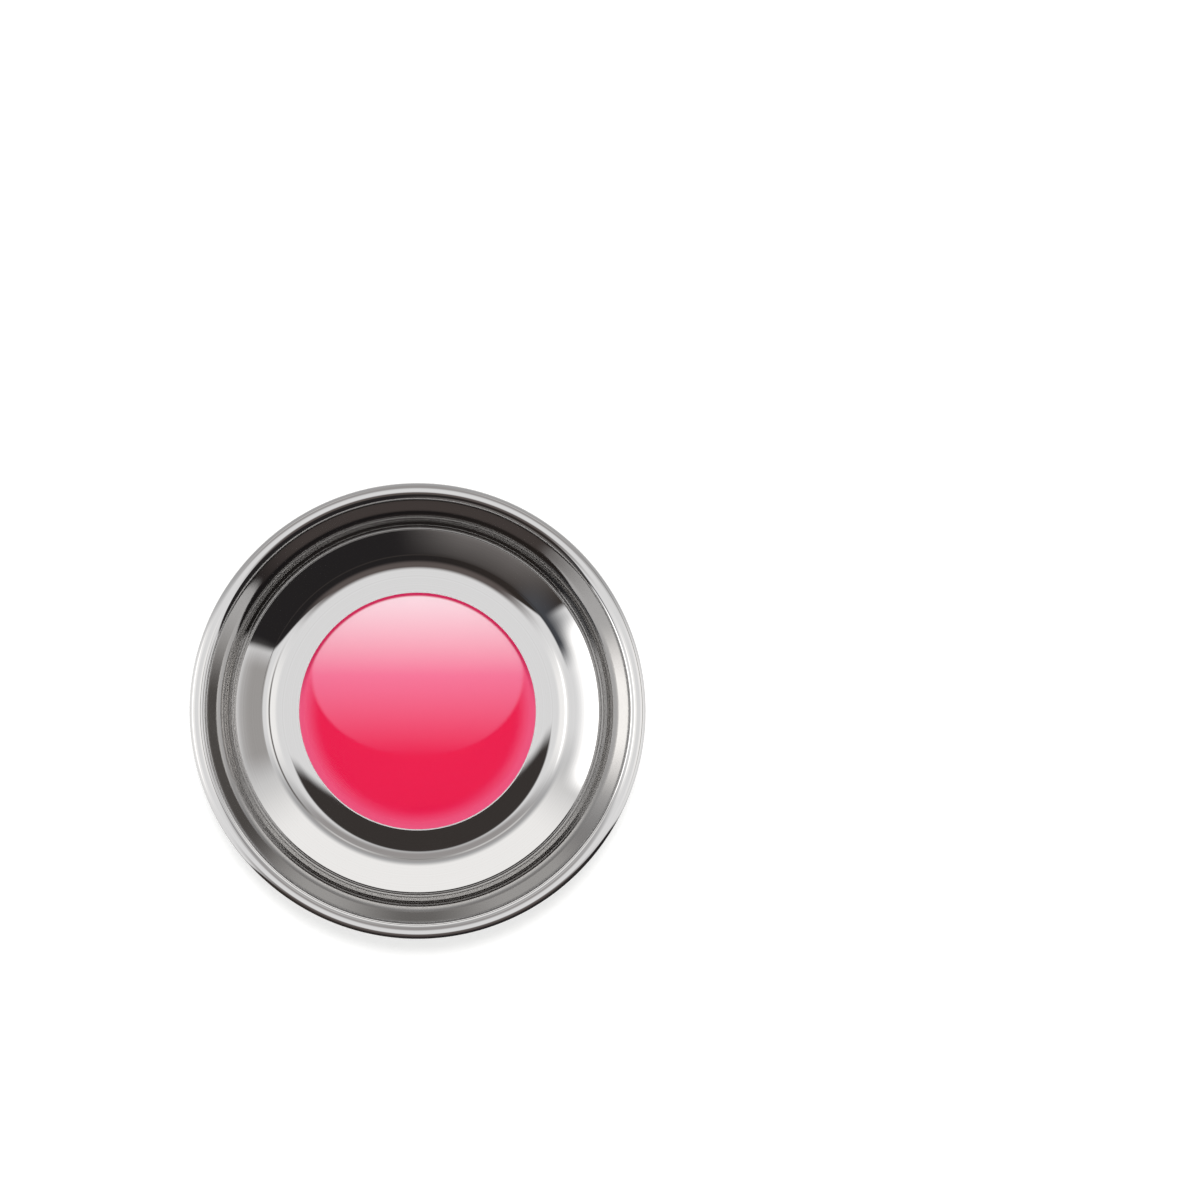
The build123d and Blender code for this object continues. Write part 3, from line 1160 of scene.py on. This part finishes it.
@dataclass
class Studio:
    """Plain soft studio: a light room with a dark arch of it on the near side, softboxes and a white floor.

    Attributes:
        far_side: Colour of the room on the side that the photograph's top faces.
        near_side: Colour of the room overhead and on the photographer's side, above the arch.
        room_turn: Shares of +Y in the looked-at direction between which the one turns to the other.
        arch_left: Colour of the dark arch towards -X.
        arch_right: Colour of the dark arch towards +X.
        arch_turn: Shares of +X between which the one turns to the other.
        arch_bearing: Direction of the arch's middle, in degrees from +X towards +Y.
        arch_reach: Degrees from its middle, on the horizon, to its edge.
        arch_fade: Degrees to each side of its edge over which it fades.
        panels: What stands in front of the room, the nearest last.
        room_level: Strength of the room in polished surfaces.
        plain_level: Strength of the room's light on matt surfaces.
        flag: Colour of the flag, a black card close over the near half of the bowl.
        flag_height: Its height over the table in millimetres.
        flag_edge: Its outer circle: how far it lies from the axis towards the arch, and its radius.
        flag_hollow: The circle that is cut from it, in the same way.
        flag_fade: Millimetres to each side of the two circles over which it fades.
        lamp_size: The lamp's diameter in metres.
        lamp_power: Its power in watts.
        lamp_place: Where it hangs, in metres.
        lamp_aim: What it points at, in metres.
        paper: Colour of the floor.
        paper_reach: Half the floor's width in metres.
        paper_glow: What whitens the floor to the camera and in the steel, near the bowl and far from it.
        paper_fade: Metres from the bowl between which the one turns to the other.
    """

    far_side: str = "#bebfc1"
    near_side: str = "#fbfcfe"
    room_turn: Point = (0.07, 0.5)
    arch_left: str = "#3a3431"
    arch_right: str = "#2a2829"
    arch_turn: Point = (-0.7, 0.2)
    arch_bearing: float = -83.0
    arch_reach: float = 62.0
    arch_fade: float = 1.5
    panels: tuple[Panel, ...] = (
        # The softbox behind the bowl, and what is greyer over it and over the arch
        Panel(90.0, 62.0, -8.0, 30.0, "#ffffff", 1.18, 18.0, 9.0),
        Panel(90.0, 50.0, 42.0, 70.0, "#adaaaa", 1.0, 14.0, 7.0),
        Panel(-90.0, 46.0, 44.0, 66.0, "#69615f", 1.0, 14.0, 7.0),
        # Softboxes high on both sides, which the lip's ends mirror
        Panel(180.0, 20.0, 40.0, 70.0, "#ffffff", 1.25, 12.0, 6.0),
        Panel(0.0, 20.0, 40.0, 70.0, "#ffffff", 1.2, 12.0, 6.0),
        # The narrow band that the upper wall mirrors, by way of the floor
        Panel(90.0, 48.0, 46.0, 51.0, "#e6e6e6", 1.0, 8.0, 2.0),
        Panel(90.0, 14.0, 46.0, 51.0, "#9c9b9a", 1.0, 12.0, 2.0),
        Panel(14.0, 32.0, 46.0, 51.0, "#74716f", 1.0, 14.0, 2.0),
        Panel(180.0, 16.0, 46.0, 51.0, "#ffffff", 2.4, 10.0, 2.0),
        # What stands low round the bowl, which the flare mirrors
        Panel(0.0, 20.0, 12.5, 24.0, "#b3b1b0", 1.0, 6.0, 3.0),
        Panel(-146.0, 14.0, 15.0, 25.0, "#4c4f55", 1.0, 6.0, 3.0),
        Panel(182.0, 26.0, 4.0, 15.0, "#ffffff", 2.4, 5.0, 2.5),
        Panel(-114.0, 20.0, 3.0, 15.5, "#858180", 1.0, 13.0, 6.5),
    )
    room_level: float = 1.38
    plain_level: float = 0.72
    flag: str = "#4c4745"
    flag_height: float = 45.0
    flag_edge: Point = (0.0, 36.5)
    flag_hollow: Point = (-13.5, 40.3)
    flag_fade: Point = (0.2, 1.2)
    lamp_size: float = 0.09
    lamp_power: float = 3.1
    lamp_place: tuple[float, float, float] = (0.0, 0.11, 0.9)
    lamp_aim: tuple[float, float, float] = (0.0, 0.0, 0.02)
    paper: str = "#e9e9e8"
    paper_reach: float = 3.0
    paper_glow: Point = (0.34, 0.7)
    paper_fade: Point = (0.3, 1.1)

    def build(self) -> None:
        """Build the world, the lamp, the flag and the floor."""
        self._world()
        self._lamp()
        self._flag()
        self._floor()

    def _world(self) -> None:
        """Build the room: white to the camera, and a studio to whatever mirrors it."""
        world = bpy.data.worlds.new("studio")
        bpy.context.scene.world = world
        world.use_nodes = True
        tree = world.node_tree
        tree.nodes.clear()
        way = add(tree, "ShaderNodeTexCoord").outputs["Generated"]
        axes = add(tree, "ShaderNodeSeparateXYZ", {0: way}).outputs
        room = self._blend(tree, axes["Y"], self.room_turn, self.near_side, self.far_side)
        arch = self._blend(tree, axes["X"], self.arch_turn, self.arch_left, self.arch_right)
        heading = math.radians(self.arch_bearing)
        middle = (math.cos(heading), math.sin(heading), 0.0)
        near = add(tree, "ShaderNodeVectorMath", {0: way, 1: middle}, operation="DOT_PRODUCT")
        off = add(tree, "ShaderNodeMath", {0: near.outputs["Value"]}, operation="ARCCOSINE").outputs[0]
        past = self._rise(tree, off, self.arch_reach, self.arch_fade)
        room = add(tree, "ShaderNodeMix", {0: past, 6: arch, 7: room}, data_type="RGBA").outputs[2]
        bearing = add(tree, "ShaderNodeMath", {0: axes["Y"], 1: axes["X"]}, operation="ARCTAN2").outputs[0]
        height = add(tree, "ShaderNodeMath", {0: axes["Z"]}, operation="ARCSINE").outputs[0]
        for panel in self.panels:
            room = self._put(tree, room, panel, bearing, height)
        path = add(tree, "ShaderNodeLightPath").outputs
        mirrored = self._mirrored(tree, path)
        plain = add(tree, "ShaderNodeBackground", {"Color": linear("#ffffff"), "Strength": self.plain_level})
        studio = add(tree, "ShaderNodeBackground", {"Color": room, "Strength": self.room_level})
        white = add(tree, "ShaderNodeBackground", {"Color": linear("#ffffff"), "Strength": 1.0})
        lights = add(tree, "ShaderNodeMixShader", {0: mirrored, 1: plain.outputs[0], 2: studio.outputs[0]})
        shown = add(
            tree, "ShaderNodeMixShader", {0: path["Is Camera Ray"], 1: lights.outputs[0], 2: white.outputs[0]}
        )
        add(tree, "ShaderNodeOutputWorld", {"Surface": shown.outputs[0]})

    def _blend(self, tree: bpy.types.NodeTree, axis: Socket, span: Point, low: str, high: str) -> Socket:
        """Blend two colours along an axis of the looked-at direction.

        Args:
            tree: The world's node tree.
            axis: The direction's share along the axis.
            span: The shares between which the colours blend.
            low: Colour below the first of them.
            high: Colour above the second.

        Returns:
            The blended colour.
        """
        share = add(
            tree,
            "ShaderNodeMapRange",
            {"Value": axis, "From Min": span[0], "From Max": span[1]},
            interpolation_type="SMOOTHSTEP",
        ).outputs[0]
        return add(
            tree, "ShaderNodeMix", {0: share, 6: linear(low), 7: linear(high)}, data_type="RGBA"
        ).outputs[2]

    def _rise(self, tree: bpy.types.NodeTree, angle: Socket, edge: float, blur: float) -> Socket:
        """Return a mask that rises from 0 to 1 across an edge.

        Args:
            tree: The world's node tree.
            angle: The angle that is compared, in radians.
            edge: The edge, in degrees.
            blur: Degrees to each side over which it rises.

        Returns:
            The mask.
        """
        return add(
            tree,
            "ShaderNodeMapRange",
            {"Value": angle, "From Min": math.radians(edge - blur), "From Max": math.radians(edge + blur)},
            interpolation_type="SMOOTHSTEP",
        ).outputs[0]

    def _put(
        self, tree: bpy.types.NodeTree, behind: Socket, panel: Panel, bearing: Socket, height: Socket
    ) -> Socket:
        """Put a panel in front of the room's walls.

        Args:
            tree: The world's node tree.
            behind: Colour of what is behind it.
            panel: The panel.
            bearing: Bearing of the looked-at direction, in radians.
            height: Its elevation, in radians.

        Returns:
            The colour with the panel in it.
        """
        off = add(
            tree, "ShaderNodeMath", {0: bearing, 1: math.radians(panel.bearing)}, operation="SUBTRACT"
        ).outputs[0]
        wrapped = add(tree, "ShaderNodeMath", {0: off, 1: -math.pi, 2: math.pi}, operation="WRAP").outputs[0]
        away = add(tree, "ShaderNodeMath", {0: wrapped}, operation="ABSOLUTE").outputs[0]
        outside = self._rise(tree, away, panel.reach, panel.side_fade)
        over = self._rise(tree, height, panel.low, panel.edge_fade)
        above = self._rise(tree, height, panel.high, panel.edge_fade)
        band = add(tree, "ShaderNodeMath", {0: over, 1: above}, operation="SUBTRACT").outputs[0]
        inside = add(tree, "ShaderNodeMath", {0: 1.0, 1: outside}, operation="SUBTRACT").outputs[0]
        mask = add(tree, "ShaderNodeMath", {0: band, 1: inside}, operation="MULTIPLY").outputs[0]
        red, green, blue, _ = linear(panel.colour)
        shine = (red * panel.strength, green * panel.strength, blue * panel.strength, 1.0)
        return add(tree, "ShaderNodeMix", {0: mask, 6: behind, 7: shine}, data_type="RGBA").outputs[2]

    def _lamp(self) -> None:
        """Hang one small soft lamp high over the bowl's far edge, for the shadow under its near one."""
        lamp = bpy.data.lights.new("key", "AREA")
        lamp.shape = "DISK"
        lamp.size = self.lamp_size
        lamp.energy = self.lamp_power
        holder = bpy.data.objects.new("key", lamp)
        bpy.context.scene.collection.objects.link(holder)
        holder.location = self.lamp_place
        aim = Vector(self.lamp_aim) - holder.location
        holder.rotation_euler = aim.to_track_quat("-Z", "Y").to_euler()
        holder.visible_glossy = False
        holder.visible_transmission = False
        holder.visible_camera = False

    def _mirrored(self, tree: bpy.types.NodeTree, path: bpy.types.NodeOutputs) -> Socket:
        """Return a mask that is 1 where the steel mirrors a thing or the resin shows it.

        Args:
            tree: The node tree.
            path: The outputs of its Light Path node.

        Returns:
            The mask.
        """
        return add(
            tree,
            "ShaderNodeMath",
            {0: path["Is Glossy Ray"], 1: path["Is Transmission Ray"]},
            operation="MAXIMUM",
        ).outputs[0]

    def _sheet(self, name: str, half: float, height: float) -> bpy.types.Object:
        """Lay a square sheet over or under the bowl.

        Args:
            name: Its name.
            half: Half its width in metres.
            height: Its height in metres.

        Returns:
            The sheet's object.
        """
        mesh = bpy.data.meshes.new(name)
        corners = [(-half, -half), (half, -half), (half, half), (-half, half)]
        mesh.from_pydata([(x, y, height) for x, y in corners], [], [(0, 1, 2, 3)])
        sheet = bpy.data.objects.new(name, mesh)
        bpy.context.scene.collection.objects.link(sheet)
        return sheet

    def _flag(self) -> None:
        """Hang a small black crescent of card over the near half of the bowl, which only the steel shows."""
        flag = self._sheet("flag", sum(self.flag_edge) * MM, self.flag_height * MM)
        mat, tree = new_material("black_card")
        inside = self._circle(tree, self.flag_edge, self.flag_fade[0])
        hollow = self._circle(tree, self.flag_hollow, self.flag_fade[1])
        mask = add(
            tree, "ShaderNodeMath", {0: inside, 1: hollow}, operation="SUBTRACT", use_clamp=True
        ).outputs[0]
        gap = add(tree, "ShaderNodeBsdfTransparent")
        card = add(tree, "ShaderNodeEmission", {"Color": linear(self.flag), "Strength": 1.0})
        seen = add(tree, "ShaderNodeMixShader", {0: mask, 1: gap.outputs[0], 2: card.outputs[0]})
        add(tree, "ShaderNodeOutputMaterial", {"Surface": seen.outputs[0]})
        flag.data.materials.append(mat)
        flag.visible_camera = False
        flag.visible_diffuse = False
        flag.visible_shadow = False
        flag.visible_transmission = False

    def _circle(self, tree: bpy.types.NodeTree, circle: Point, fade: float) -> Socket:
        """Return a mask that is 1 within a circle of the flag and 0 outside it.

        Args:
            tree: The flag's node tree.
            circle: How far the circle's centre lies from the axis towards the arch, and its radius.
            fade: Millimetres to each side of the circle over which the mask falls.

        Returns:
            The mask.
        """
        away, radius = circle
        heading = math.radians(self.arch_bearing)
        centre = (away * MM * math.cos(heading), away * MM * math.sin(heading), self.flag_height * MM)
        place = add(tree, "ShaderNodeTexCoord").outputs["Object"]
        off = add(tree, "ShaderNodeVectorMath", {0: place, 1: centre}, operation="DISTANCE")
        return add(
            tree,
            "ShaderNodeMapRange",
            {
                "Value": off.outputs["Value"],
                "From Min": (radius + fade) * MM,
                "From Max": (radius - fade) * MM,
            },
            interpolation_type="SMOOTHSTEP",
        ).outputs[0]

    def _floor(self) -> None:
        """Lay the white floor that the bowl stands on."""
        floor = self._sheet("floor", self.paper_reach, 0.0)
        mat, tree = new_material("white_paper")
        path = add(tree, "ShaderNodeLightPath").outputs
        place = add(tree, "ShaderNodeTexCoord").outputs["Object"]
        away = add(tree, "ShaderNodeVectorMath", {0: place}, operation="LENGTH").outputs["Value"]
        level = add(
            tree,
            "ShaderNodeMapRange",
            {
                "Value": away,
                "From Min": self.paper_fade[0],
                "From Max": self.paper_fade[1],
                "To Min": self.paper_glow[0],
                "To Max": self.paper_glow[1],
            },
            interpolation_type="SMOOTHSTEP",
        ).outputs[0]
        matt = add(tree, "ShaderNodeBsdfDiffuse", {"Color": linear(self.paper)})
        glow = add(tree, "ShaderNodeEmission", {"Color": linear("#ffffff"), "Strength": level})
        shown = add(tree, "ShaderNodeAddShader", {0: matt.outputs[0], 1: glow.outputs[0]})
        mirrored = self._mirrored(tree, path)
        seen = add(
            tree, "ShaderNodeMath", {0: mirrored, 1: path["Is Camera Ray"]}, operation="MAXIMUM"
        ).outputs[0]
        paper = add(tree, "ShaderNodeMixShader", {0: seen, 1: matt.outputs[0], 2: shown.outputs[0]})
        add(tree, "ShaderNodeOutputMaterial", {"Surface": paper.outputs[0]})
        floor.data.materials.append(mat)


@dataclass
class Viewpoint:
    """The camera, straight over the bowl as in the photograph's left view.

    Attributes:
        picture: The photograph's width in pixels.
        rim_centre: The rim's centre in it, in pixels from its left and its top.
        rim_radius_seen: The rim's radius in it, in pixels.
        rim_radius: The rim's radius in millimetres.
        distance: Millimetres from the rim to the camera.
        sensor: The sensor's width in millimetres.
        clip: The nearest and farthest that it sees, in metres.
    """

    picture: float = 1200.0
    rim_centre: Point = (417.5, 711.0)
    rim_radius_seen: float = 228.3
    rim_radius: float = 54.0
    distance: float = 550.0
    sensor: float = 36.0
    clip: Point = (0.01, 20.0)

    def build(self) -> None:
        """Place the camera and frame the bowl as the photograph does."""
        rim_height = box_mm("bowl")[1].z
        lens = bpy.data.cameras.new("camera")
        lens.sensor_width = self.sensor
        lens.lens = self.sensor / self.picture * self.rim_radius_seen * self.distance / self.rim_radius
        lens.shift_x = 0.5 - self.rim_centre[0] / self.picture
        lens.shift_y = self.rim_centre[1] / self.picture - 0.5
        lens.clip_start, lens.clip_end = self.clip
        camera = bpy.data.objects.new("camera", lens)
        bpy.context.scene.collection.objects.link(camera)
        camera.location = (0.0, 0.0, (rim_height + self.distance) * MM)
        bpy.context.scene.camera = camera
        LOG.info("camera: lens %.2f mm, shift %.4f, %.4f", lens.lens, lens.shift_x, lens.shift_y)


def main() -> None:
    """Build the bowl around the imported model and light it."""
    logging.basicConfig(level=logging.INFO, format="%(message)s")
    for thing in list(bpy.data.objects):
        bpy.data.objects.remove(thing)
    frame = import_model()
    lathe = Lathe()
    Dish().make(lathe)
    Label().make(lathe)
    Foot().make(lathe)
    Hardware().dress(frame["nodes"])
    Studio().build()
    Viewpoint().build()
    bpy.context.scene.view_settings.view_transform = "Standard"


if __name__ == "__main__":
    main()
